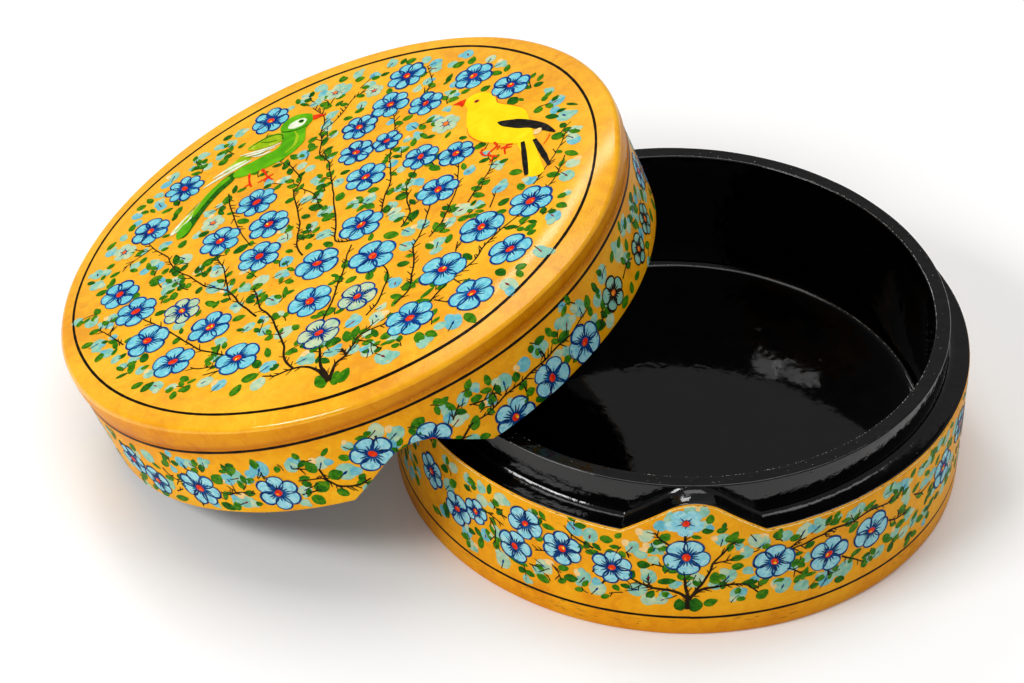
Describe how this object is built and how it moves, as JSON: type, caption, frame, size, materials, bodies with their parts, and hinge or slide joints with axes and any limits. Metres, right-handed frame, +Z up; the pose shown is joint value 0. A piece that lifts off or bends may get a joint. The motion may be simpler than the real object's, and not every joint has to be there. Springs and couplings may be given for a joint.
{
  "type": "papier mache box",
  "caption": "Round papier mache box with painted flowers and birds; the lift-off lid has a tent-shaped notch and leans beside the base.",
  "frame": {"origin": "centre of the base's underside, where the base stands on the table", "axes": "+Z up, -Y towards the front with the tent-shaped peak, +X to its right; the lid lies on the -X side"},
  "size_m": [0.1978, 0.1448, 0.0749],
  "materials": {
    "painted_paper": "golden yellow paint with flowers, under a warm satin varnish",
    "black_lacquer": "black lacquer, glossy, with a fine uneven surface"
  },
  "bodies": {
    "base": {"base_floor": "painted_paper", "base_wall": "painted_paper", "inner_collar": "black_lacquer"},
    "lid": {"lid_skirt": "painted_paper", "lid_top": "painted_paper"}
  },
  "joints": [
    {"name": "lid_lift", "type": "slide", "parent": "base", "child": "lid", "axis": [0, 0, 1], "range_m": [0, 0.06]}
  ]
}
